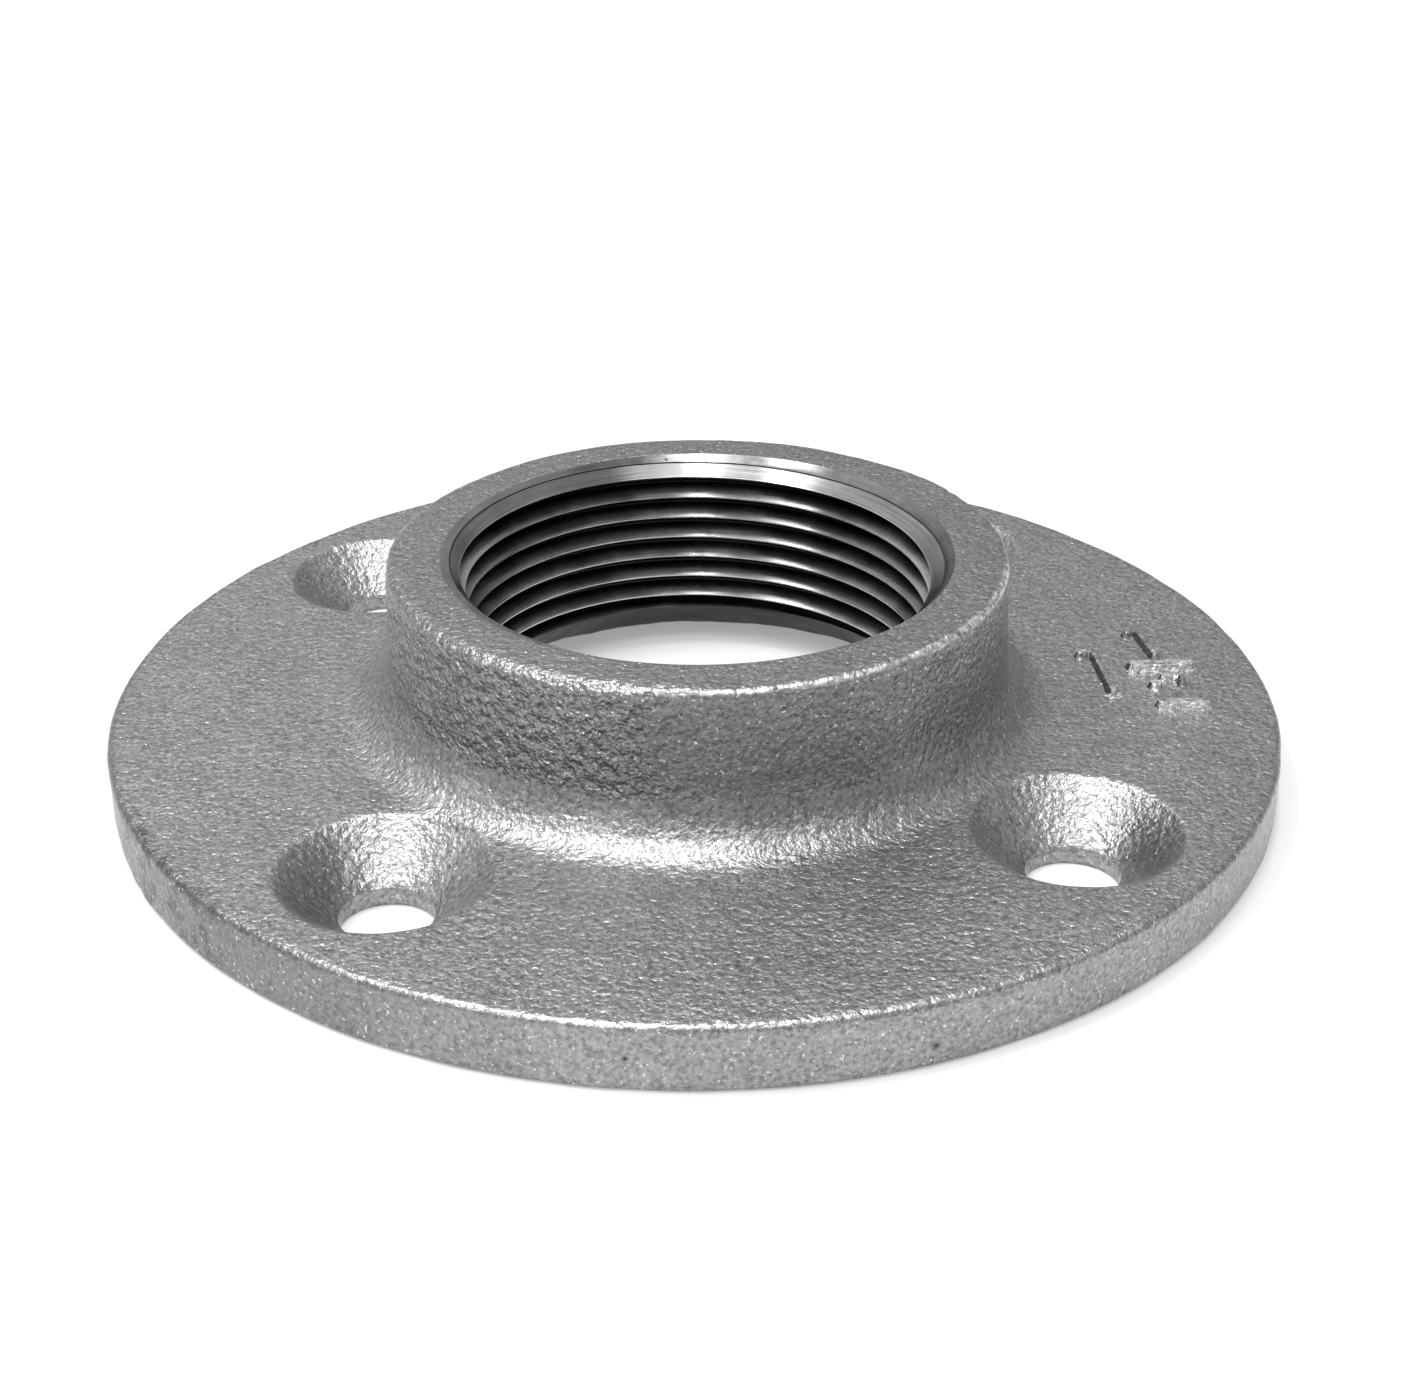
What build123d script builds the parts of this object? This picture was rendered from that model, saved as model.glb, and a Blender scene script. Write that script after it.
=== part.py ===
from build123d import *
import math
import os

# Threaded floor flange, one piece of galvanised malleable iron.
# Millimetres, +Z up. The origin is the middle of the flat underside.

# ---- driving dimensions -------------------------------------------------
FLANGE_R = 56.0          # outer radius of the round foot
FLANGE_T = 6.2           # thickness of the foot at its rim
RIM_ROUND = 0.6          # soft cast round on the top edge of the foot
HUB_R = 29.35            # radius of the hub just under its top edge
HUB_FOOT_R = 29.7        # radius of the hub where the root fillet starts (draft)
HUB_H = 20.9             # height of the hub's top face over the underside
HUB_ROUND = 0.5          # cast round on the hub's top outer edge
FILLET_R = 5.0           # root fillet between hub and foot

BORE_R = 22.1            # thread crests, the plain wall that is stated
MOUTH_R = 24.3           # outer radius of the lead-in at the top face
MOUTH_STEP_R = 23.1      # bottom of the first short chamfer
MOUTH_STEP_Z = 20.15
BORE_TOP_Z = 19.1        # where the lead-in cone ends and the thread starts
FLARE_R = 27.0           # relief at the underside
FLARE_TOP_Z = 4.7        # where the relief meets the bore

PCD_R = 42.8             # screw circle radius
HOLE_COUNT = 4
HOLE_START = -38.3       # azimuth of the first screw hole, degrees
HOLE_R = 4.3             # through hole
SINK_R = 9.3             # countersink at the top face
SINK_BOTTOM_Z = 2.0      # the countersink ends on the straight hole here

FIG_HEIGHT = 0.45        # raised size figures on the foot
FIG_SINK = 0.6           # how far the figures are rooted in the foot


# ---- section of the casting, turned about Z ------------------------------
def section():
    pts_fillet_start = (HUB_FOOT_R, FLANGE_T + FILLET_R)
    pts_fillet_end = (HUB_FOOT_R + FILLET_R, FLANGE_T)
    c = (HUB_FOOT_R + FILLET_R, FLANGE_T + FILLET_R)
    mid = (c[0] - FILLET_R * math.sin(math.radians(45)),
           c[1] - FILLET_R * math.cos(math.radians(45)))
    rim_c = (FLANGE_R - RIM_ROUND, FLANGE_T - RIM_ROUND)
    rim_mid = (rim_c[0] + RIM_ROUND * math.sin(math.radians(45)),
               rim_c[1] + RIM_ROUND * math.cos(math.radians(45)))
    hub_c = (HUB_R - HUB_ROUND, HUB_H - HUB_ROUND)
    hub_mid = (hub_c[0] + HUB_ROUND * math.sin(math.radians(45)),
               hub_c[1] + HUB_ROUND * math.cos(math.radians(45)))

    def v(p):
        return (p[0], 0, p[1])

    edges = [
        Line(v((FLARE_R, 0)), v((FLANGE_R, 0))),
        Line(v((FLANGE_R, 0)), v((FLANGE_R, FLANGE_T - RIM_ROUND))),
        ThreePointArc(v((FLANGE_R, FLANGE_T - RIM_ROUND)), v(rim_mid),
                      v((FLANGE_R - RIM_ROUND, FLANGE_T))),
        Line(v((FLANGE_R - RIM_ROUND, FLANGE_T)), v(pts_fillet_end)),
        ThreePointArc(v(pts_fillet_end), v(mid), v(pts_fillet_start)),
        Line(v(pts_fillet_start), v((HUB_R, HUB_H - HUB_ROUND))),
        ThreePointArc(v((HUB_R, HUB_H - HUB_ROUND)), v(hub_mid),
                      v((HUB_R - HUB_ROUND, HUB_H))),
        Line(v((HUB_R - HUB_ROUND, HUB_H)), v((MOUTH_R, HUB_H))),
        Line(v((MOUTH_R, HUB_H)), v((MOUTH_STEP_R, MOUTH_STEP_Z))),
        Line(v((MOUTH_STEP_R, MOUTH_STEP_Z)), v((BORE_R, BORE_TOP_Z))),
        Line(v((BORE_R, BORE_TOP_Z)), v((BORE_R, FLARE_TOP_Z))),
        Line(v((BORE_R, FLARE_TOP_Z)), v((FLARE_R, 0))),
    ]
    return make_face(Curve() + edges)


body = revolve(section(), Axis.Z, 360)

# ---- four countersunk screw holes ----------------------------------------
for k in range(HOLE_COUNT):
    a = math.radians(HOLE_START + 360.0 / HOLE_COUNT * k)
    x, y = PCD_R * math.cos(a), PCD_R * math.sin(a)
    body -= Pos(x, y, FLANGE_T / 2) * Cylinder(HOLE_R, FLANGE_T * 3)
    # the cone runs on a little above the face at the same slope
    over = 0.5
    slope = (SINK_R - HOLE_R) / (FLANGE_T - SINK_BOTTOM_Z)
    h = FLANGE_T - SINK_BOTTOM_Z + over
    body -= Pos(x, y, SINK_BOTTOM_Z + h / 2) * Cone(HOLE_R, SINK_R + slope * over, h)


# ---- raised plain size figures, 1 1/2, cast on the foot -------------------
def stroke(x0, y0, x1, y1, w):
    """One bar of a figure, standing on the foot, between two points."""
    length = math.hypot(x1 - x0, y1 - y0) + w
    ang = math.degrees(math.atan2(y1 - y0, x1 - x0))
    h = FIG_HEIGHT + FIG_SINK
    return (Pos((x0 + x1) / 2, (y0 + y1) / 2, FLANGE_T - FIG_SINK + h / 2)
            * Rot(0, 0, ang) * Box(length, w, h))


FIGURES = [
    # the whole number: stem and flag
    (39.95, 5.9, 40.6, -1.6, 0.95), (39.7, 6.25, 38.75, 5.95, 0.9),
    # the upper figure of the fraction: stem and flag
    (45.2, 10.8, 45.95, 6.1, 0.85), (45.0, 11.0, 44.2, 10.6, 0.8),
    # the bar of the fraction
    (43.7, 3.5, 48.6, 3.85, 1.6),
    # the lower figure: hook, crown, diagonal and foot
    (44.9, -0.6, 45.9, 0.6, 0.8), (46.1, 0.95, 47.2, 1.2, 0.8),
    (47.6, 0.7, 47.5, -0.5, 0.8), (47.4, -0.8, 45.3, -3.8, 0.75),
    (45.1, -4.58, 49.0, -4.55, 1.2),
]
for x0, y0, x1, y1, w in FIGURES:
    body += stroke(x0, y0, x1, y1, w)

body = body.solid() if hasattr(body, "solid") else body

os.makedirs("parts", exist_ok=True)
export_step(body, "parts/floor_flange.step")
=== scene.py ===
import math

import bpy
import bmesh
import numpy as np
from mathutils import Matrix, Vector
from mathutils.geometry import delaunay_2d_cdt


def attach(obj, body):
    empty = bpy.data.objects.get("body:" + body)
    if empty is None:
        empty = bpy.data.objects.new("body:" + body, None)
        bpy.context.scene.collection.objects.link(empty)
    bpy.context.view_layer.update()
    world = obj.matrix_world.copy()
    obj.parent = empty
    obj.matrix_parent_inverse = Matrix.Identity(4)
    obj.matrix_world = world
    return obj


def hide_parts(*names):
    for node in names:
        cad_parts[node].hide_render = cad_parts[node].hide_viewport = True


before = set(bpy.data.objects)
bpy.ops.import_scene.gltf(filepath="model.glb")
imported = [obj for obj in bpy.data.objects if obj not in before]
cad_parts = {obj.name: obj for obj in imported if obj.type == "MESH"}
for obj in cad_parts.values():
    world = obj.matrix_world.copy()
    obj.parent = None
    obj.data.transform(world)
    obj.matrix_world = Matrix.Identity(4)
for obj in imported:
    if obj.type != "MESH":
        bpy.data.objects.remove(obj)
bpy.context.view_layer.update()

# All lengths below are millimetres in the part's frame; the mesh is scaled to metres at the end.
N = 400                       # columns round the axis
FLANGE_R, FLANGE_T = 56.0, 6.2
HUB_R, HUB_FOOT_R, HUB_H = 29.35, 29.7, 20.9
FILLET = 5.0
PITCH = 25.4 / 11.5           # thread pitch
CREST_R, CREST_Z = 22.13, 19.13   # first crest edge, at azimuth 90
DEPTH = 1.77
TAPER = 1.0 / 32.0            # radius lost per mm downwards
MOUTH_R = 24.3
FLARE_R = 27.1

# screw holes where the casting has them: centre at the top face, centre of the straight hole
HOLES = [
    ((33.36, -27.05), (33.25, -27.25)),
    ((26.45, 33.62), (26.45, 33.6)),
    ((-34.05, 26.52), (-33.9, 26.5)),
    ((-26.22, -33.52), (-26.30, -33.62)),
]
HOLE_R, SINK_R, SINK_Z = 4.15, 9.05, 2.0
RIM_OPEN = 9.75               # where the soft rim of a countersink runs into the face


# ------------------------------------------------------------------ noise
def _hash(ix, iy, iz, seed):
    h = (ix.astype(np.int64) * 374761393 + iy.astype(np.int64) * 668265263
         + iz.astype(np.int64) * 2147483647 + seed * 974634777) & 0xFFFFFFFF
    h = ((h ^ (h >> 13)) * 1274126177) & 0xFFFFFFFF
    h = ((h ^ (h >> 16)) * 2246822519) & 0xFFFFFFFF
    return ((h ^ (h >> 15)) & 0xFFFFFF) / float(0xFFFFFF)


def vnoise(p, size, seed):
    """Smooth value noise in -1..1, with features about `size` mm across."""
    q = p / size
    i = np.floor(q).astype(np.int64)
    f = q - i
    f = f * f * f * (f * (f * 6 - 15) + 10)
    out = np.zeros(len(p))
    for dx in (0, 1):
        for dy in (0, 1):
            for dz in (0, 1):
                w = (np.where(dx, f[:, 0], 1 - f[:, 0]) * np.where(dy, f[:, 1], 1 - f[:, 1])
                     * np.where(dz, f[:, 2], 1 - f[:, 2]))
                out += w * _hash(i[:, 0] + dx, i[:, 1] + dy, i[:, 2] + dz, seed)
    return out * 2 - 1


def smooth(a, b, x):
    t = np.clip((x - a) / (b - a), 0, 1)
    return t * t * (3 - 2 * t)


# ------------------------------------------------------------------ mesh store
verts = []
faces = []
zones = []                    # 0 cast, 1 machined lead-in, 2 thread, 3 relief under the thread


def add_verts(arr):
    start = len(verts)
    verts.extend([tuple(float(c) for c in v) for v in arr])
    return start


theta = np.linspace(0, 2 * math.pi, N, endpoint=False) - math.pi / 2
cos_t, sin_t = np.cos(theta), np.sin(theta)


def ring(r, z):
    return np.stack([r * cos_t, r * sin_t, np.full(N, z) if np.isscalar(z) else z], 1)


# ------------------------------------------------------------------ outside rows
rows = []                     # (r, z)
for k in range(10):
    rows.append((MOUTH_R + (HUB_R - 0.75 - MOUTH_R) * k / 9, HUB_H))
for k in range(1, 6):
    a = math.radians(90 * k / 5)
    rows.append((HUB_R - 0.75 + 0.75 * math.sin(a), HUB_H - 0.75 + 0.75 * math.cos(a)))
for k in range(1, 19):
    t = k / 18
    rows.append((HUB_R + (HUB_FOOT_R - HUB_R) * t, HUB_H - 0.75 + (FLANGE_T + FILLET - HUB_H + 0.75) * t))
for k in range(1, 17):
    a = math.radians(90 - 90 * k / 16)
    rows.append((HUB_FOOT_R + FILLET - FILLET * math.sin(a), FLANGE_T + FILLET - FILLET * math.cos(a)))
FLAT_TO = FLANGE_R - 0.65
for k in range(1, 42):
    rows.append((HUB_FOOT_R + FILLET + (FLAT_TO - HUB_FOOT_R - FILLET) * k / 41, FLANGE_T))
TOP_END = len(rows) - 1
for k in range(1, 5):
    a = math.radians(90 * k / 4)
    rows.append((FLAT_TO + 0.65 * math.sin(a), FLANGE_T - 0.65 + 0.65 * math.cos(a)))
for k in range(1, 10):
    rows.append((FLANGE_R, FLANGE_T - 0.65 + (0.45 - FLANGE_T + 0.65) * k / 9))
for k in range(1, 4):
    a = math.radians(90 * k / 3)
    rows.append((FLANGE_R - 0.45 + 0.45 * math.cos(a), 0.45 - 0.45 * math.sin(a)))
UNDER_START = len(rows) - 1
UNDER = [53.4, 51.2, 49.0, 46.8, 44.6, 42.4, 40.2, 38.0, 35.8, 33.4, 30.8, 28.8, FLARE_R + 0.35]
for r in UNDER:
    rows.append((r, 0.0))
row_id = [add_verts(ring(r, z)) for r, z in rows]


def top_z(x, y):
    """Height of the upper outside face over a point of the foot."""
    r = np.hypot(x, y)
    c = HUB_FOOT_R + FILLET
    inside = np.clip((c - r) / FILLET, 0, 1)
    return np.where(r < c, FLANGE_T + FILLET - FILLET * np.sqrt(np.clip(1 - inside ** 2, 0, 1)), FLANGE_T)


# raised plain size figures, as strokes with a width
STROKES = [
    (39.98, 6.15, 40.62, -1.75, 0.88), (39.85, 6.45, 38.6, 6.0, 0.8),
    (45.2, 11.05, 46.0, 5.75, 0.8), (45.1, 11.1, 44.0, 10.6, 0.7),
    (43.6, 3.5, 48.9, 3.85, 1.45),
    (44.9, -0.62, 45.05, -0.5, 1.15), (46.0, 0.95, 47.1, 1.35, 0.75),
    (47.1, 1.35, 47.75, 0.7, 0.7), (47.75, 0.7, 47.6, -0.3, 0.65),
    (44.9, -4.58, 49.0, -4.55, 1.15),
]
FAINT = [(47.5, -0.7, 46.2, -2.5, 0.6), (46.2, -2.5, 45.0, -4.0, 0.6)]
FIG_BOX = (36.9, 50.9, -6.6, 13.2)


def stroke_dist(x, y, s):
    x0, y0, x1, y1, w = s
    dx, dy = x1 - x0, y1 - y0
    t = np.clip(((x - x0) * dx + (y - y0) * dy) / (dx * dx + dy * dy), 0, 1)
    return np.hypot(x - x0 - t * dx, y - y0 - t * dy) - w / 2


def figure_height(x, y):
    h = np.zeros(len(x))
    wob = 0.05 * vnoise(np.stack([x, y, x * 0], 1), 0.9, 41)
    for s in STROKES:
        h = np.maximum(h, 0.60 * (1 - smooth(-0.12, 0.16, stroke_dist(x, y, s) + wob)))
    for s in FAINT:
        h = np.maximum(h, 0.12 * (1 - smooth(-0.2, 0.25, stroke_dist(x, y, s) + wob)))
    return h


# ------------------------------------------------------------------ patches that replace cells of the grid
def cell_mask(r0, r1, test):
    """Cells (row, column) between rows r0..r1 of which a corner passes the test."""
    cells = set()
    pts = {}
    for j in range(r0, r1 + 1):
        v = np.array(verts[row_id[j]:row_id[j] + N])
        pts[j] = test(v[:, 0], v[:, 1])
    for j in range(r0, r1):
        a, b = pts[j], pts[j + 1]
        for i in range(N):
            n = (i + 1) % N
            if a[i] or a[n] or b[i] or b[n]:
                cells.add((j, i))
    return cells


def patch_edges(cells):
    """Boundary edges of a set of cells, as pairs of vertex numbers."""
    count = {}
    for j, i in cells:
        n = (i + 1) % N
        q = [row_id[j] + i, row_id[j] + n, row_id[j + 1] + n, row_id[j + 1] + i]
        for k in range(4):
            e = tuple(sorted((q[k], q[(k + 1) % 4])))
            count[e] = count.get(e, 0) + 1
    return [e for e, c in count.items() if c == 1]


def point_in_loop(px, py, poly):
    inside = np.zeros(len(px), bool)
    x0, y0 = poly[:, 0], poly[:, 1]
    x1, y1 = np.roll(x0, -1), np.roll(y0, -1)
    for a, b, c, d in zip(x0, y0, x1, y1):
        cond = (b > py) != (d > py)
        xi = (c - a) * (py - b) / (d - b + 1e-12) + a
        inside ^= cond & (px < xi)
    return inside


def order_loop(edges):
    nxt = {}
    for a, b in edges:
        nxt.setdefault(a, []).append(b)
        nxt.setdefault(b, []).append(a)
    start = edges[0][0]
    loop, prev, cur = [start], None, start
    while True:
        cand = [v for v in nxt[cur] if v != prev]
        prev, cur = cur, cand[0]
        if cur == start:
            return loop
        loop.append(cur)


def fill_patch(cells, inner_loop, points, height, flip=False):
    """Fills the room of the removed cells, with an optional hole in the middle."""
    edges = patch_edges(cells)
    loop = order_loop(edges)
    poly = np.array([verts[v][:2] for v in loop])
    ids = list(loop)
    xy = [tuple(p) for p in poly]
    con = [(k, (k + 1) % len(loop)) for k in range(len(loop))]
    inner = None
    if inner_loop:
        base = len(xy)
        inner = np.array([verts[v][:2] for v in inner_loop])
        xy += [tuple(p) for p in inner]
        ids += list(inner_loop)
        con += [(base + k, base + (k + 1) % len(inner_loop)) for k in range(len(inner_loop))]
    if len(points):
        ok = point_in_loop(points[:, 0], points[:, 1], poly)
        if inner is not None:
            ok &= ~point_in_loop(points[:, 0], points[:, 1], inner)
        # keep clear of the boundary's own points
        bnd = np.array(xy)
        pts = points[ok]
        keep = np.ones(len(pts), bool)
        for c in range(0, len(pts), 400):
            d = np.hypot(pts[c:c + 400, 0:1] - bnd[None, :, 0], pts[c:c + 400, 1:2] - bnd[None, :, 1]).min(1)
            keep[c:c + 400] = d > 0.18
        pts = pts[keep]
        z = height(pts[:, 0], pts[:, 1])
        s = add_verts(np.column_stack([pts, z]))
        ids += list(range(s, s + len(pts)))
        xy += [tuple(p) for p in pts]
    v2, e2, f2, ov, oe, of_ = delaunay_2d_cdt([Vector(p) for p in xy], con, [], 0, 1e-7)
    back = []
    for k in range(len(v2)):
        back.append(ids[ov[k][0]] if ov[k] else None)
    cen = np.array([[sum(v2[a][0] for a in f) / 3, sum(v2[a][1] for a in f) / 3] for f in f2])
    ok = point_in_loop(cen[:, 0], cen[:, 1], poly)
    if inner is not None:
        ok &= ~point_in_loop(cen[:, 0], cen[:, 1], inner)
    for f, o in zip(f2, ok):
        if o:
            t = [back[a] for a in f]
            if None in t:
                raise RuntimeError("a patch made a point of its own")
            a, b, c = (v2[k] for k in f)
            up = (b[0] - a[0]) * (c[1] - a[1]) - (b[1] - a[1]) * (c[0] - a[0]) > 0
            if up == flip:
                t.reverse()
            faces.append(t)
            zones.append(0)


removed = set()
HC = 104                      # columns round a screw hole
hang = np.linspace(0, 2 * math.pi, HC, endpoint=False)
for (tx, ty), (bx, by) in HOLES:
    # section of the hole from the top face down: soft rim, cone, short soft step, straight wall
    cone = math.atan2(SINK_R - HOLE_R - 0.1, FLANGE_T - SINK_Z)
    prof = []
    for k, (r, dz) in enumerate([(RIM_OPEN, 0.0), (9.52, -0.035), (9.32, -0.11), (9.14, -0.23), (8.98, -0.37)]):
        prof.append((r, dz, 1.0))
    r_end, z_end = HOLE_R + 0.18, SINK_Z + 0.02
    for k in range(1, 10):
        t = k / 9
        prof.append((8.98 + (r_end - 8.98) * t, None, 1 - t))
        prof[-1] = (prof[-1][0], (FLANGE_T - 0.37) + (z_end - FLANGE_T + 0.37) * t, 1 - t)
    ids = []
    for k, (r, zz, w) in enumerate(prof):
        cx, cy = bx + (tx - bx) * w, by + (ty - by) * w
        x = cx + r * np.cos(hang)
        y = cy + r * np.sin(hang)
        if k < 5:
            z = top_z(x, y) + zz
        else:
            edge = top_z(cx + 8.98 * np.cos(hang), cy + 8.98 * np.sin(hang)) - 0.37
            z = zz + (edge - (FLANGE_T - 0.37)) * w
        ids.append(add_verts(np.stack([x, y, z], 1)))
    for r, z in ((HOLE_R, SINK_Z - 0.16), (HOLE_R - 0.03, 1.4), (HOLE_R - 0.03, 0.9), (HOLE_R, 0.4), (HOLE_R + 0.06, 0.14), (HOLE_R + 0.2, 0.0)):
        ids.append(add_verts(np.stack([bx + r * np.cos(hang), by + r * np.sin(hang), np.full(HC, z)], 1)))
    for a, b in zip(ids[:-1], ids[1:]):
        for k in range(HC):
            n = (k + 1) % HC
            faces.append([a + k, b + k, b + n, a + n])
            zones.append(0)
    cells = cell_mask(28, TOP_END, lambda x, y: np.hypot(x - tx, y - ty) < RIM_OPEN + 0.3)
    removed |= cells
    fill_patch(cells, list(range(ids[0], ids[0] + HC)), np.zeros((0, 2)), None)
    cells = cell_mask(UNDER_START, len(rows) - 1, lambda x, y: np.hypot(x - bx, y - by) < HOLE_R + 0.5)
    removed |= cells
    fill_patch(cells, list(range(ids[-1], ids[-1] + HC)), np.zeros((0, 2)), None, flip=True)

# the figures' patch, finer near the strokes
cells = cell_mask(28, TOP_END, lambda x, y: (x > FIG_BOX[0]) & (x < FIG_BOX[1]) & (y > FIG_BOX[2]) & (y < FIG_BOX[3]))
cells -= removed
gx, gy = np.meshgrid(np.arange(FIG_BOX[0] - 0.8, FIG_BOX[1] + 0.8, 0.15), np.arange(FIG_BOX[2] - 0.8, FIG_BOX[3] + 0.8, 0.15))
gx = gx + 0.075 * (np.arange(gx.shape[0]) % 2)[:, None]
p = np.stack([gx.ravel(), gy.ravel()], 1)
near = np.full(len(p), 9.0)
for s in STROKES + FAINT:
    near = np.minimum(near, stroke_dist(p[:, 0], p[:, 1], s))
fine = p[near < 0.32]
cx_, cy_ = np.meshgrid(np.arange(FIG_BOX[0] - 0.8, FIG_BOX[1] + 0.8, 0.5), np.arange(FIG_BOX[2] - 0.8, FIG_BOX[3] + 0.8, 0.5))
p2 = np.stack([cx_.ravel(), cy_.ravel()], 1)
near2 = np.full(len(p2), 9.0)
for s in STROKES + FAINT:
    near2 = np.minimum(near2, stroke_dist(p2[:, 0], p2[:, 1], s))
pts = np.concatenate([fine, p2[near2 > 0.42]])
removed |= cells
fill_patch(cells, None, pts, lambda x, y: top_z(x, y) + figure_height(x, y))

for j in range(len(rows) - 1):
    for i in range(N):
        if (j, i) in removed:
            continue
        n = (i + 1) % N
        a, b = row_id[j], row_id[j + 1]
        faces.append([a + i, b + i, b + n, a + n])
        zones.append(0)

# ------------------------------------------------------------------ bore
az = np.degrees(theta)                          # -90 .. 270


def crest_z(u):
    return CREST_Z + PITCH * (u + (az - 90) / 360.0)


def step_z():
    """The lower edge of the lead-in, which leans over towards the front right."""
    return 20.33 - 0.36 * np.cos(theta)


STEP_R = 23.42
bore = [row_id[0]]
bore_zone = []
# lead-in: from the top face to the step, with a small bright edge
zs = step_z()
for t in (0.12, 0.55, 1.0):
    bore.append(add_verts(ring(MOUTH_R + (STEP_R + 0.06 - MOUTH_R) * t, HUB_H + (zs - HUB_H) * t)))
    bore_zone.append(1)
bore.append(add_verts(ring(STEP_R + 0.02, zs - 0.13)))
bore_zone.append(3)


def bore_r(z, u):
    """Radius of the threaded wall. u counts pitches over the first crest edge."""
    base = CREST_R + (z - CREST_Z) * TAPER
    f = u - np.floor(u)
    up = np.interp(f, [0, 0.045, 0.455, 0.525, 1.0], [0, 0, 1, 1, 0])
    d = DEPTH * up
    # the first groove runs out at the front, where the thread starts
    turn = np.floor(u)
    fade = np.where(turn >= 0, 0.0, 1.0)
    fade = np.where(turn == -1, 1 - smooth(196, 262, az), fade)
    # the last turn grows shallow where the cutter left
    fade = fade * smooth(3.2, 5.6, z)
    return base + d * fade


# smooth ring from the step down to the first crest edge, then the thread
M = [0.0, 0.045, 0.18, 0.32, 0.455, 0.525, 0.70, 0.87]
us = sorted({round(t + m, 4) for t in range(-8, 1) for m in M} | {1.0}, reverse=True)
FIRST = len(bore)             # where the rows of the helix start
LOW = 4.35
c0 = crest_z(0.0)
for u in us:
    z = crest_z(u)
    hi = zs - 0.13
    zc = np.clip(z, LOW, hi)
    r = bore_r(zc, np.full(N, u))
    # above the first crest edge the wall is the ring's cone, which also cuts the crests off
    t = np.clip((zc - c0) / np.maximum(hi - c0, 0.05), 0, 1)
    cone_r = CREST_R + (c0 - CREST_Z) * TAPER + (STEP_R + 0.02 - (CREST_R + (c0 - CREST_Z) * TAPER)) * t
    cut_r = STEP_R + 0.02 - (hi - zc) * 1.08
    # at the front the ring runs into the plain wall where the thread's first groove ends
    plain = np.maximum(CREST_R + (zc - CREST_Z) * TAPER, cut_r)
    front = 1 - smooth(-88, -35, az)
    r = np.where(zc >= c0 - 1e-6, cone_r * (1 - front) + plain * front, r)
    r = np.maximum(r, cut_r)
    # what lies past an end is drawn in to that end, and is merged away
    r = np.where(z >= hi, STEP_R + 0.02, r)
    low_r = bore_r(np.full(N, LOW), (LOW - CREST_Z) / PITCH - (az - 90) / 360.0)
    r = np.where(z <= LOW, low_r, r)
    bore.append(add_verts(ring(r, zc)))
    bore_zone.append(2)
# relief under the thread, a soft hollow flare to the underside
for k, (t, bulge) in enumerate(((0.1, 0), (0.25, 0), (0.42, 0), (0.6, 0), (0.78, 0), (0.92, 0))):
    r_low = bore_r(np.full(N, LOW), (LOW - CREST_Z) / PITCH - (az - 90) / 360.0)
    rr = r_low + (FLARE_R - r_low) * (t ** 1.12)
    bore.append(add_verts(ring(rr, LOW * (1 - t))))
    bore_zone.append(3)
bore.append(row_id[-1])
bore_zone.append(3)
LAST = FIRST + len(us) - 1
for k, (a, b, zn) in enumerate(zip(bore[:-1], bore[1:], bore_zone)):
    # between the helix's rows the last column joins the first one turn further on, below
    for i in range(N - 1 if FIRST <= k < LAST else N):
        n = (i + 1) % N
        faces.append([a + n, b + n, b + i, a + i])
        zones.append(zn)

for k in range(FIRST, LAST + len(M)):
    i0, i1 = min(k, LAST), min(k + 1, LAST)
    j0, j1 = max(k - len(M), FIRST), max(k + 1 - len(M), FIRST)
    faces.append([bore[j0], bore[j1], bore[i1] + N - 1, bore[i0] + N - 1])
    zones.append(2)

# ------------------------------------------------------------------ weld the seam, shape the casting
bm = bmesh.new()
vs = [bm.verts.new(v) for v in verts]
bm.verts.ensure_lookup_table()
zone_of = {}
for f, zn in zip(faces, zones):
    f = [k for n, k in enumerate(f) if k not in f[:n]]
    if len(f) < 3:
        continue
    try:
        face = bm.faces.new([vs[k] for k in f])
    except ValueError:
        continue
    face.material_index = zn
bmesh.ops.remove_doubles(bm, verts=bm.verts, dist=0.0015)
bmesh.ops.dissolve_degenerate(bm, edges=bm.edges, dist=0.0015)
loose = [v for v in bm.verts if not v.link_faces]
bmesh.ops.delete(bm, geom=loose, context="VERTS")
bmesh.ops.recalc_face_normals(bm, faces=bm.faces)
me = bpy.data.meshes.new("floor_flange_casting")
bm.to_mesh(me)
open_edges = sum(1 for e in bm.edges if len(e.link_faces) != 2)
print("open or odd edges", open_edges, "faces", len(bm.faces))
bm.free()

nv = len(me.vertices)
co = np.empty(nv * 3)
me.vertices.foreach_get("co", co)
co = co.reshape(-1, 3)
no = np.empty(nv * 3)
me.vertices.foreach_get("normal", no)
no = no.reshape(-1, 3)
# how much of a vertex is as-cast, from the faces that it touches
mat = np.empty(len(me.polygons), int)
me.polygons.foreach_get("material_index", mat)
cast = np.ones(nv)
relief = np.zeros(nv)
for pl, zn in zip(me.polygons, mat):
    if zn in (1, 2):
        for k in pl.vertices:
            cast[k] = 0.0
    elif zn == 3:
        for k in pl.vertices:
            relief[k] = 1.0
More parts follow.
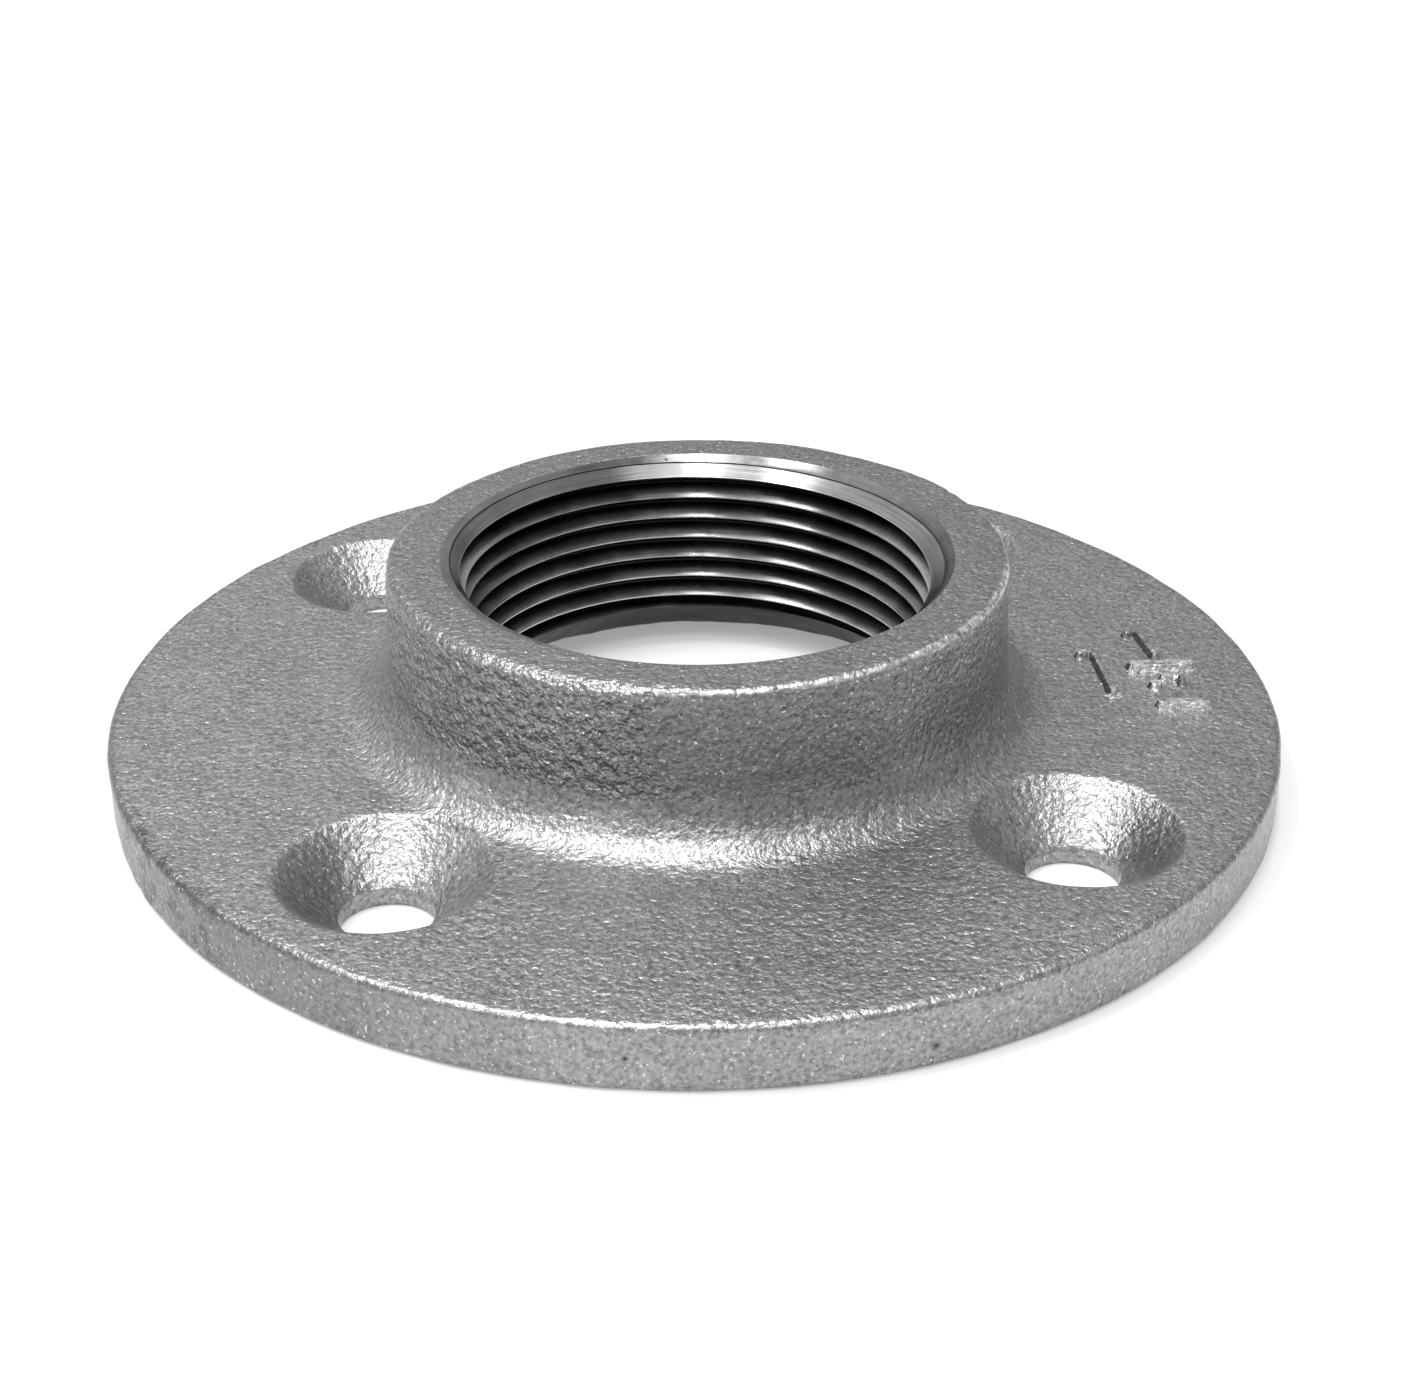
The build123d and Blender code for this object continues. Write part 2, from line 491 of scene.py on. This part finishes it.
# raised figures: worn tops, painted highlight on their front walls and tips, and painted shade along their left walls
pc = np.empty(len(me.polygons) * 3)
me.polygons.foreach_get("center", pc)
pc = pc.reshape(-1, 3)
pn = np.empty(len(me.polygons) * 3)
me.polygons.foreach_get("normal", pn)
pn = pn.reshape(-1, 3)
in_fig = ((pc[:, 0] > FIG_BOX[0]) & (pc[:, 0] < FIG_BOX[1]) & (pc[:, 1] > FIG_BOX[2]) & (pc[:, 1] < FIG_BOX[3])
          & (pc[:, 2] > FLANGE_T - 0.05) & (mat == 0))
wear_and_highlight_noise = vnoise(pc * np.array([0.6, 1.6, 1.0]), 0.55, 53)
bars = np.minimum.reduce([stroke_dist(pc[:, 0], pc[:, 1], STROKES[k]) for k in (4, 5, 6, 9)])
slope = in_fig & (pn[:, 2] < 0.93)
# bar tops: wear, with painted highlight
mat[in_fig & (bars < 0.02) & (wear_and_highlight_noise > -0.22)] = 4
# painted highlight on walls that face the front
mat[slope & (pn[:, 1] < -0.25) & (bars < 0.3)] = 4
# painted shade on walls that face left
mat[slope & (pn[:, 0] < -0.30) & (pn[:, 1] > -0.60)] = 5
# painted highlight on three stroke tips, except on sides that face left
tips = [(38.75, 6.4, 0.5), (40.65, -2.1, 0.75), (46.1, 6.1, 0.45)]
for tx_, ty_, tr_ in tips:
    mat[in_fig & (np.hypot(pc[:, 0] - tx_, pc[:, 1] - ty_) < tr_) & (pn[:, 0] > -0.2) & (wear_and_highlight_noise > -0.5)] = 4
me.polygons.foreach_set("material_index", mat)
r = np.hypot(co[:, 0], co[:, 1])
a = np.degrees(np.arctan2(co[:, 1], co[:, 0]))
under = (co[:, 2] < 0.3) & (r > FLARE_R + 0.2)
left_hub = np.exp(-((a + 140) / 38.0) ** 2)
wall = smooth(6.4, 9.0, co[:, 2]) * (r > 27.5)
d = (0.060 * vnoise(co, 9.0, 3) + 0.045 * vnoise(co, 4.2, 5) + 0.030 * vnoise(co, 2.2, 7)
     + 0.020 * vnoise(co, 1.3, 11))
d += wall * left_hub * (1 - smooth(19.6, 20.5, co[:, 2])) * (0.08 * vnoise(co, 1.9, 17) + 0.07 * vnoise(co, 1.15, 19))
# scabby patch on the left of the rim
g = np.exp(-(((a + 150) / 9.0) ** 2)) * smooth(49.5, 54.5, r)
d += g * (0.10 * vnoise(co, 1.6, 23) - 0.03)
d = np.where(under, 0.35 * (d - 0.12), d)
d = d * cast
d = np.where(co[:, 2] < 1e-4, np.minimum(d, 0) * 0.0, d)
edge_hub = np.exp(-((co[:, 2] - 20.75) / 0.45) ** 2) * np.exp(-((r - 29.1) / 0.6) ** 2)
ragged = smooth(-112, -70, a) * (1 - smooth(30, 60, a))
d += edge_hub * (0.10 * ragged * (0.6 + vnoise(co, 1.4, 29)) - 0.22 * (1 - ragged) * smooth(-180, -150, -np.abs(a)))
co2 = co + no * d[:, None]
# keep the resting face flat
co2[:, 2] = np.where(under | (co[:, 2] < 0.02), np.maximum(co2[:, 2], 0.0), co2[:, 2])
# the foot and the hub sit a little off each other, as cast
w_foot = np.clip((10.5 - co[:, 2]) / 3.5, 0, 1) * np.clip((r - 27.2) / 1.2, 0, 1)
co2[:, 0] += -0.17 * w_foot + 0.17 * (1 - w_foot)
# relief: uneven, with a couple of lumps
rel = relief * (cast > 0)
co2 += no * (rel * (0.10 * vnoise(co, 3.1, 31) + 0.05 * vnoise(co, 1.4, 37)))[:, None]
lim = FLANGE_R + 0.25
rr = np.hypot(co2[:, 0], co2[:, 1])
co2[:, 2] = np.maximum(co2[:, 2], 0.0)
me.vertices.foreach_set("co", (co2 * 0.001).ravel())
me.update()
me.shade_smooth()
me.set_sharp_from_angle(angle=math.radians(34))
casting = bpy.data.objects.new("floor_flange_casting", me)
bpy.context.collection.objects.link(casting)
tris = sum(len(pl.vertices) - 2 for pl in me.polygons)
print("triangles", tris, "min z", co2[:, 2].min(), "max r", rr.max())


# ------------------------------------------------------------------ materials
def new_mat(name):
    m = bpy.data.materials.new(name)
    m.use_nodes = True
    nt = m.node_tree
    nt.nodes.clear()
    out = nt.nodes.new("ShaderNodeOutputMaterial")
    b = nt.nodes.new("ShaderNodeBsdfPrincipled")
    nt.links.new(b.outputs[0], out.inputs[0])
    tc = nt.nodes.new("ShaderNodeTexCoord")
    return m, nt, b, tc


def node(nt, kind, **kw):
    n = nt.nodes.new(kind)
    for k, v in kw.items():
        if k in n.inputs:
            n.inputs[k].default_value = v
        else:
            setattr(n, k, v)
    return n


def noise_tex(nt, tc, scale, detail=2.0, rough=0.5, dist=0.0):
    n = nt.nodes.new("ShaderNodeTexNoise")
    n.inputs["Scale"].default_value = scale
    n.inputs["Detail"].default_value = detail
    n.inputs["Roughness"].default_value = rough
    n.inputs["Distortion"].default_value = dist
    nt.links.new(tc.outputs["Object"], n.inputs["Vector"])
    return n.outputs["Fac"]


def ramp(nt, src, stops, interp="LINEAR"):
    rnode = nt.nodes.new("ShaderNodeValToRGB")
    rnode.color_ramp.interpolation = interp
    els = rnode.color_ramp.elements
    while len(els) < len(stops):
        els.new(0.5)
    for e, (pos, col) in zip(els, stops):
        e.position = pos
        e.color = (col, col, col, 1) if isinstance(col, (int, float)) else (*col, 1)
    nt.links.new(src, rnode.inputs[0])
    return rnode.outputs[0]


def math_node(nt, op, a, b=None, c=None, clamp=False):
    m = nt.nodes.new("ShaderNodeMath")
    m.operation = op
    m.use_clamp = clamp
    for k, v in enumerate((a, b, c)):
        if v is None:
            continue
        if isinstance(v, (int, float)):
            m.inputs[k].default_value = v
        else:
            nt.links.new(v, m.inputs[k])
    return m.outputs[0]


def mix_col(nt, fac, a, b, mode="MIX"):
    m = nt.nodes.new("ShaderNodeMix")
    m.data_type = "RGBA"
    m.blend_type = mode
    if isinstance(fac, (int, float)):
        m.inputs[0].default_value = fac
    else:
        nt.links.new(fac, m.inputs[0])
    for k, v in ((6, a), (7, b)):
        if isinstance(v, tuple):
            m.inputs[k].default_value = (*v, 1)
        else:
            nt.links.new(v, m.inputs[k])
    return m.outputs[2]


def bump(nt, height, strength, distance, normal=None):
    bn = nt.nodes.new("ShaderNodeBump")
    bn.inputs["Strength"].default_value = strength
    bn.inputs["Distance"].default_value = distance
    nt.links.new(height, bn.inputs["Height"])
    if normal is not None:
        nt.links.new(normal, bn.inputs["Normal"])
    return bn.outputs["Normal"]


def spot(nt, tc, centre, radius):
    """1 at a point of the surface, falling to 0 at the radius (metres)."""
    d = nt.nodes.new("ShaderNodeVectorMath")
    d.operation = "DISTANCE"
    nt.links.new(tc.outputs["Object"], d.inputs[0])
    d.inputs[1].default_value = centre
    mr = nt.nodes.new("ShaderNodeMapRange")
    mr.interpolation_type = "SMOOTHSTEP"
    nt.links.new(d.outputs["Value"], mr.inputs["Value"])
    mr.inputs["From Min"].default_value = 0.0
    mr.inputs["From Max"].default_value = radius
    mr.inputs["To Min"].default_value = 1.0
    mr.inputs["To Max"].default_value = 0.0
    return mr.outputs[0]


def box_mask(nt, sep, axis, lo, hi, soft):
    """1 where a coordinate lies between lo and hi (metres), with soft ends."""
    out = None
    for a_, b_ in ((lo - soft, lo + soft), (hi + soft, hi - soft)):
        mr = nt.nodes.new("ShaderNodeMapRange")
        mr.interpolation_type = "SMOOTHSTEP"
        nt.links.new(sep.outputs[axis], mr.inputs["Value"])
        mr.inputs["From Min"].default_value = min(a_, b_)
        mr.inputs["From Max"].default_value = max(a_, b_)
        mr.inputs["To Min"].default_value = 0.0 if a_ < b_ else 1.0
        mr.inputs["To Max"].default_value = 1.0 if a_ < b_ else 0.0
        out = mr.outputs[0] if out is None else math_node(nt, "MULTIPLY", out, mr.outputs[0])
    return out


def cast_material(name, tone, figure_slot=False):
    m, nt, b, tc = new_mat(name)
    coarse = noise_tex(nt, tc, 150, 3, 0.6)
    grain = noise_tex(nt, tc, 2300, 2, 0.6)
    pebble = noise_tex(nt, tc, 1250, 2, 0.5, 0.3)
    fleck = noise_tex(nt, tc, 3000, 1, 0.5)
    base = ramp(nt, coarse, [(0.25, (0.33 * tone, 0.333 * tone, 0.33 * tone)), (0.75, (0.40 * tone, 0.403 * tone, 0.399 * tone))])
    grey = ramp(nt, grain, [(0.30, 0.60), (0.5, 1.0), (0.72, 1.34)])
    col = mix_col(nt, 1.0, base, grey, "MULTIPLY")
    dark = ramp(nt, fleck, [(0.20, 1.0), (0.32, 0.0)])
    col = mix_col(nt, math_node(nt, "MULTIPLY", dark, 0.5), col, (0.13, 0.13, 0.13))
    spark = ramp(nt, fleck, [(0.66, 0.0), (0.74, 1.0)])
    rough = ramp(nt, pebble, [(0.25, 0.30), (0.75, 0.44)])
    sep = nt.nodes.new("ShaderNodeSeparateXYZ")
    nt.links.new(tc.outputs["Object"], sep.inputs[0])
    if not figure_slot:
        # the top of the hub is a shade darker than the foot
        top = box_mask(nt, sep, "Z", 0.0203, 0.0230, 0.0003)
        col = mix_col(nt, math_node(nt, "MULTIPLY", top, 0.25), col, (0.12, 0.12, 0.12))
        # painted shade on the wall on the right of the hub
        right_wall_shade = math_node(nt, "MULTIPLY", box_mask(nt, sep, "Z", 0.0118, 0.0203, 0.0012), box_mask(nt, sep, "X", -0.006, 0.040, 0.008))
        col = mix_col(nt, math_node(nt, "MULTIPLY", right_wall_shade, 0.28), col, (0.10, 0.10, 0.10))
        # painted highlight along the front of the hub's top edge and of the foot's top edge, broken up by noise
        ln = nt.nodes.new("ShaderNodeVectorMath")
        ln.operation = "LENGTH"
        flat = nt.nodes.new("ShaderNodeVectorMath")
        flat.operation = "MULTIPLY"
        flat.inputs[1].default_value = (1, 1, 0)
        nt.links.new(tc.outputs["Object"], flat.inputs[0])
        nt.links.new(flat.outputs[0], ln.inputs[0])
        rad = nt.nodes.new("ShaderNodeCombineXYZ")
        nt.links.new(ln.outputs["Value"], rad.inputs[0])
        rsep = nt.nodes.new("ShaderNodeSeparateXYZ")
        nt.links.new(rad.outputs[0], rsep.inputs[0])
        edge_breakup = ramp(nt, noise_tex(nt, tc, 1300, 3, 0.65), [(0.36, 0.0), (0.60, 1.0)])
        hub = math_node(nt, "MULTIPLY", box_mask(nt, sep, "Z", 0.02048, 0.0222, 0.00016), box_mask(nt, rsep, "X", 0.02900, 0.0302, 0.00020))
        hub = math_node(nt, "MULTIPLY", hub, box_mask(nt, sep, "X", 0.0005, 0.032, 0.0012))
        hub = math_node(nt, "MULTIPLY", hub, box_mask(nt, sep, "Y", -0.032, -0.0035, 0.002))
        foot = math_node(nt, "MULTIPLY", box_mask(nt, sep, "Z", 0.00592, 0.0080, 0.00010), box_mask(nt, rsep, "X", 0.05555, 0.0575, 0.00012))
        foot = math_node(nt, "MULTIPLY", foot, box_mask(nt, sep, "X", -0.030, 0.033, 0.004))
        foot = math_node(nt, "MULTIPLY", foot, box_mask(nt, sep, "Y", -0.060, -0.025, 0.004))
        front_edge_highlight = math_node(nt, "MULTIPLY", math_node(nt, "MAXIMUM", hub, math_node(nt, "MULTIPLY", foot, 0.35)), edge_breakup)
        col = mix_col(nt, front_edge_highlight, col, (0.86, 0.86, 0.85))
        # the left of the rim is scabby, with dark patches
        scab = math_node(nt, "MULTIPLY", box_mask(nt, sep, "X", -0.0505, -0.0395, 0.003), box_mask(nt, rsep, "X", 0.0548, 0.058, 0.0005))
        scab = math_node(nt, "MULTIPLY", scab, box_mask(nt, sep, "Y", -0.050, -0.020, 0.002))
        scab = math_node(nt, "MULTIPLY", scab, ramp(nt, noise_tex(nt, tc, 620, 3, 0.6), [(0.46, 0.0), (0.56, 1.0)]))
        col = mix_col(nt, math_node(nt, "MULTIPLY", scab, 0.7), col, (0.07, 0.07, 0.07))
        # painted shade over the whole left of the rim
        left_rim_shade = math_node(nt, "MULTIPLY", box_mask(nt, sep, "X", -0.070, -0.022, 0.014), box_mask(nt, rsep, "X", 0.0555, 0.060, 0.0003))
        col = mix_col(nt, math_node(nt, "MULTIPLY", left_rim_shade, 0.42), col, (0.10, 0.10, 0.10))
        # painted shade in the mouths of the two front countersinks, on the sides away from the light
        deep = box_mask(nt, sep, "Z", 0.0012, 0.0056, 0.0005)
        for hx, hy in ((0.0334, -0.0271), (-0.0262, -0.0335)):
            shaded_side = box_mask(nt, sep, "X", (hx + 0.0045) if hx > 0 else -0.060, 0.060 if hx > 0 else (hx - 0.0045), 0.0016)
            near_ = math_node(nt, "MULTIPLY", spot(nt, tc, (hx, hy, 0.004), 0.0125), 2.2, None, True)
            col = mix_col(nt, math_node(nt, "MULTIPLY", math_node(nt, "MULTIPLY", shaded_side, near_), math_node(nt, "MULTIPLY", deep, 0.45)), col, (0.08, 0.08, 0.08))
    col = mix_col(nt, math_node(nt, "MULTIPLY", spark, 0.8), col, (0.80, 0.80, 0.79))
    for c, rad_ in (((-0.00551, -0.05571, 0.00312), 0.00042), ((0.0186, -0.05288, 0.00207), 0.00052)):
        col = mix_col(nt, math_node(nt, "MULTIPLY", spot(nt, tc, c, rad_), 0.95), col, (0.02, 0.02, 0.02))
    nt.links.new(col, b.inputs["Base Color"])
    b.inputs["Metallic"].default_value = 0.9
    nt.links.new(rough, b.inputs["Roughness"])
    n1 = bump(nt, pebble, 0.8, 0.00024)
    if not figure_slot:
        # the left of the hub was cast rougher than the rest
        peel = math_node(nt, "MULTIPLY", box_mask(nt, sep, "Z", 0.0105, 0.0205, 0.0008), box_mask(nt, sep, "X", -0.0310, -0.0030, 0.005))
        peel = math_node(nt, "MULTIPLY", peel, box_mask(nt, sep, "Y", -0.0320, -0.0030, 0.003))
        lumps = math_node(nt, "MULTIPLY", math_node(nt, "SUBTRACT", noise_tex(nt, tc, 1000, 2, 0.6), 0.5), peel)
        n1 = bump(nt, lumps, 1.0, 0.0010, n1)
    n2 = bump(nt, grain, 0.85, 0.00014, n1)
    nt.links.new(n2, b.inputs["Normal"])
    return m


def turned(m, nt, b):
    """Turning marks run round the axis, so the gloss spreads across them."""
    tan = nt.nodes.new("ShaderNodeTangent")
    tan.direction_type = "RADIAL"
    tan.axis = "Z"
    nt.links.new(tan.outputs[0], b.inputs["Tangent"])
    b.inputs["Anisotropic"].default_value = 0.85
    b.inputs["Anisotropic Rotation"].default_value = 0.25


def machined_material(name, lo, hi, rough_lo, rough_hi, streak):
    m, nt, b, tc = new_mat(name)
    coarse = noise_tex(nt, tc, 260, 4, 0.65)
    mp = nt.nodes.new("ShaderNodeMapping")
    mp.inputs["Scale"].default_value = (260, 260, 6500)
    nt.links.new(tc.outputs["Object"], mp.inputs["Vector"])
    lines = nt.nodes.new("ShaderNodeTexNoise")
    lines.inputs["Scale"].default_value = 1.0
    lines.inputs["Detail"].default_value = 3
    nt.links.new(mp.outputs[0], lines.inputs["Vector"])
    base = ramp(nt, coarse, [(0.28, lo), (0.72, hi)])
    tint = ramp(nt, lines.outputs["Fac"], [(0.3, 0.8), (0.7, 1.1)])
    col = mix_col(nt, 1.0, base, tint, "MULTIPLY")
    nt.links.new(ramp(nt, coarse, [(0.3, rough_lo), (0.7, rough_hi)]), b.inputs["Roughness"])
    nicks = ramp(nt, noise_tex(nt, tc, 420, 3, 0.6), [(0.70, 0.0), (0.74, 1.0)])
    col = mix_col(nt, math_node(nt, "MULTIPLY", nicks, 0.85), col, (0.03, 0.03, 0.03))
    nt.links.new(col, b.inputs["Base Color"])
    b.inputs["Metallic"].default_value = 1.0
    nt.links.new(bump(nt, lines.outputs["Fac"], streak, 0.00006), b.inputs["Normal"])
    turned(m, nt, b)
    return m


def thread_material():
    """Cut thread: painted shade darkens each root, and the flank is lighter toward the crest."""
    m, nt, b, tc = new_mat("cut_thread")
    sep = nt.nodes.new("ShaderNodeSeparateXYZ")
    nt.links.new(tc.outputs["Object"], sep.inputs[0])
    back = math_node(nt, "MULTIPLY", sep.outputs["X"], -1.0)
    ang = math_node(nt, "DIVIDE", math_node(nt, "ARCTAN2", back, sep.outputs["Y"]), 2 * math.pi)
    turns = math_node(nt, "DIVIDE", math_node(nt, "SUBTRACT", sep.outputs["Z"], CREST_Z * 0.001), PITCH * 0.001)
    u = math_node(nt, "SUBTRACT", turns, ang)
    wob = math_node(nt, "MULTIPLY_ADD", noise_tex(nt, tc, 420, 3, 0.6), 0.10, -0.05)
    f = math_node(nt, "FRACT", math_node(nt, "ADD", u, wob))
    # painted shade: near-black in the root, light at the crest edge
    root_shade = ramp(nt, f, [(0.0, 0.62), (0.08, 0.60), (0.20, 0.36), (0.33, 0.15), (0.43, 0.035), (0.60, 0.02), (0.90, 0.05), (0.985, 0.62)])
    ends = nt.nodes.new("ShaderNodeMapRange")
    ends.interpolation_type = "SMOOTHSTEP"
    ends.inputs["From Min"].default_value = 0.30
    ends.inputs["From Max"].default_value = 0.47
    nt.links.new(ang, ends.inputs["Value"])
    # no painted root shade on the ring above the first crest edge, or where the first groove runs out
    no_root_shade = math_node(nt, "MAXIMUM", math_node(nt, "GREATER_THAN", u, 0.02),
                      math_node(nt, "MULTIPLY", math_node(nt, "GREATER_THAN", u, -0.98), ends.outputs[0]))
    root_shade = mix_col(nt, no_root_shade, root_shade, (0.33, 0.33, 0.33))
    mp = nt.nodes.new("ShaderNodeMapping")
    mp.inputs["Scale"].default_value = (110, 110, 5200)
    nt.links.new(tc.outputs["Object"], mp.inputs["Vector"])
    lines = nt.nodes.new("ShaderNodeTexNoise")
    lines.inputs["Scale"].default_value = 1.0
    lines.inputs["Detail"].default_value = 3
    nt.links.new(mp.outputs[0], lines.inputs["Vector"])
    smear = noise_tex(nt, tc, 190, 3, 0.6)
    col = mix_col(nt, 1.0, root_shade, ramp(nt, lines.outputs["Fac"], [(0.3, 0.72), (0.7, 1.15)]), "MULTIPLY")
    col = mix_col(nt, 1.0, col, ramp(nt, smear, [(0.3, 0.78), (0.7, 1.1)]), "MULTIPLY")
    for c, rad_, tone in (((0.0014, 0.0224, 0.01225), 0.0009, 0.02), ((0.0005, 0.0224, 0.0101), 0.0011, 0.02),
                          ((0.0024, 0.0221, 0.00995), 0.0007, 0.02)):
        col = mix_col(nt, math_node(nt, "MULTIPLY", spot(nt, tc, c, rad_), 0.9), col, (tone, tone, tone))
    nt.links.new(col, b.inputs["Base Color"])
    b.inputs["Metallic"].default_value = 1.0
    nt.links.new(ramp(nt, smear, [(0.3, 0.20), (0.7, 0.30)]), b.inputs["Roughness"])
    nt.links.new(bump(nt, lines.outputs["Fac"], 0.35, 0.00004), b.inputs["Normal"])
    turned(m, nt, b)
    return m


mats = [
    cast_material("galvanised_cast_iron", 0.86),
    machined_material("machined_lead_in", (0.18, 0.18, 0.18), (0.34, 0.34, 0.34), 0.26, 0.36, 0.4),
    thread_material(),
    # the relief under the thread is given a near-black colour
    machined_material("near_black_relief", (0.012, 0.012, 0.013), (0.07, 0.07, 0.072), 0.20, 0.40, 0.3),
    cast_material("figure_wear_and_painted_highlight", 1.75, True),
    cast_material("figure_painted_shade", 0.28, True),
]
for m in mats:
    me.materials.append(m)

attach(casting, "root")
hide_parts("floor_flange")

# ------------------------------------------------------------------ floor, light and camera
bm = bmesh.new()
bmesh.ops.create_grid(bm, x_segments=2, y_segments=2, size=3.0)
fme = bpy.data.meshes.new("floor")
bm.to_mesh(fme)
bm.free()
floor = bpy.data.objects.new("floor", fme)
bpy.context.collection.objects.link(floor)
fm, fnt, fb, _ = new_mat("pale_floor")
fb.inputs["Base Color"].default_value = (0.62, 0.62, 0.62, 1)
fb.inputs["Emission Color"].default_value = (1, 1, 1, 1)
fb.inputs["Emission Strength"].default_value = 0.30
fb.inputs["Roughness"].default_value = 0.8
fb.inputs["Specular IOR Level"].default_value = 0.2
fme.materials.append(fm)

world = bpy.data.worlds.new("studio")
bpy.context.scene.world = world
world.use_nodes = True
wnt = world.node_tree
bg = wnt.nodes["Background"]
wtc = wnt.nodes.new("ShaderNodeTexCoord")
wsep = wnt.nodes.new("ShaderNodeSeparateXYZ")
wnt.links.new(wtc.outputs["Generated"], wsep.inputs[0])
sky = ramp(wnt, wsep.outputs["Z"], [(0.0, 0.36), (0.30, 0.55), (0.52, 0.96), (0.78, 0.92), (0.97, 0.50)])
side = wnt.nodes.new("ShaderNodeMapRange")
side.inputs["From Min"].default_value = -0.45
side.inputs["From Max"].default_value = 0.45
side.inputs["To Min"].default_value = 1.12
side.inputs["To Max"].default_value = 0.60
wnt.links.new(wsep.outputs["X"], side.inputs["Value"])
wnt.links.new(mix_col(wnt, 1.0, sky, side.outputs[0], "MULTIPLY"), bg.inputs[0])
bg.inputs[1].default_value = 1.0


def area(name, az_deg, el_deg, dist, sx, sy, watts):
    """A soft box that looks at the object from an azimuth (0 is +X) and an elevation."""
    li = bpy.data.lights.new(name, "AREA")
    li.shape = "RECTANGLE"
    li.size, li.size_y = sx, sy
    li.energy = watts
    o = bpy.data.objects.new(name, li)
    a_, e_ = math.radians(az_deg), math.radians(el_deg)
    dvec = Vector((math.cos(e_) * math.cos(a_), math.cos(e_) * math.sin(a_), math.sin(e_)))
    o.location = dvec * dist + Vector((0, 0, 0.01))
    o.rotation_euler = dvec.to_track_quat("Z", "Y").to_euler()
    bpy.context.collection.objects.link(o)
    return o


area("front_box", -88, 66, 1.2, 1.10, 0.32, 4.2)
area("top_strip", 90, 88, 1.0, 0.055, 0.42, 4.0)
area("left_strip", 178, 69, 1.0, 0.40, 0.055, 4.2)

cam = bpy.data.cameras.new("camera")
cam.sensor_fit = "HORIZONTAL"
cam.sensor_width = 36.0
cam.lens = 57.24785
cam.clip_start = 0.01
cam.clip_end = 20
co_ = bpy.data.objects.new("camera", cam)
bpy.context.collection.objects.link(co_)
R_ = Vector((0.999993, -0.002627, -0.002699))
U_ = Vector((0.003614, 0.467254, 0.884116))
F_ = Vector((0.001061, 0.884119, -0.46726))
rot = Matrix((R_, U_, -F_)).transposed().to_4x4()
co_.matrix_world = Matrix.Translation(Vector((0.17, -193.3414, 106.8397)) * 0.001) @ rot
bpy.context.scene.camera = co_
bpy.context.scene.view_settings.view_transform = "Standard"
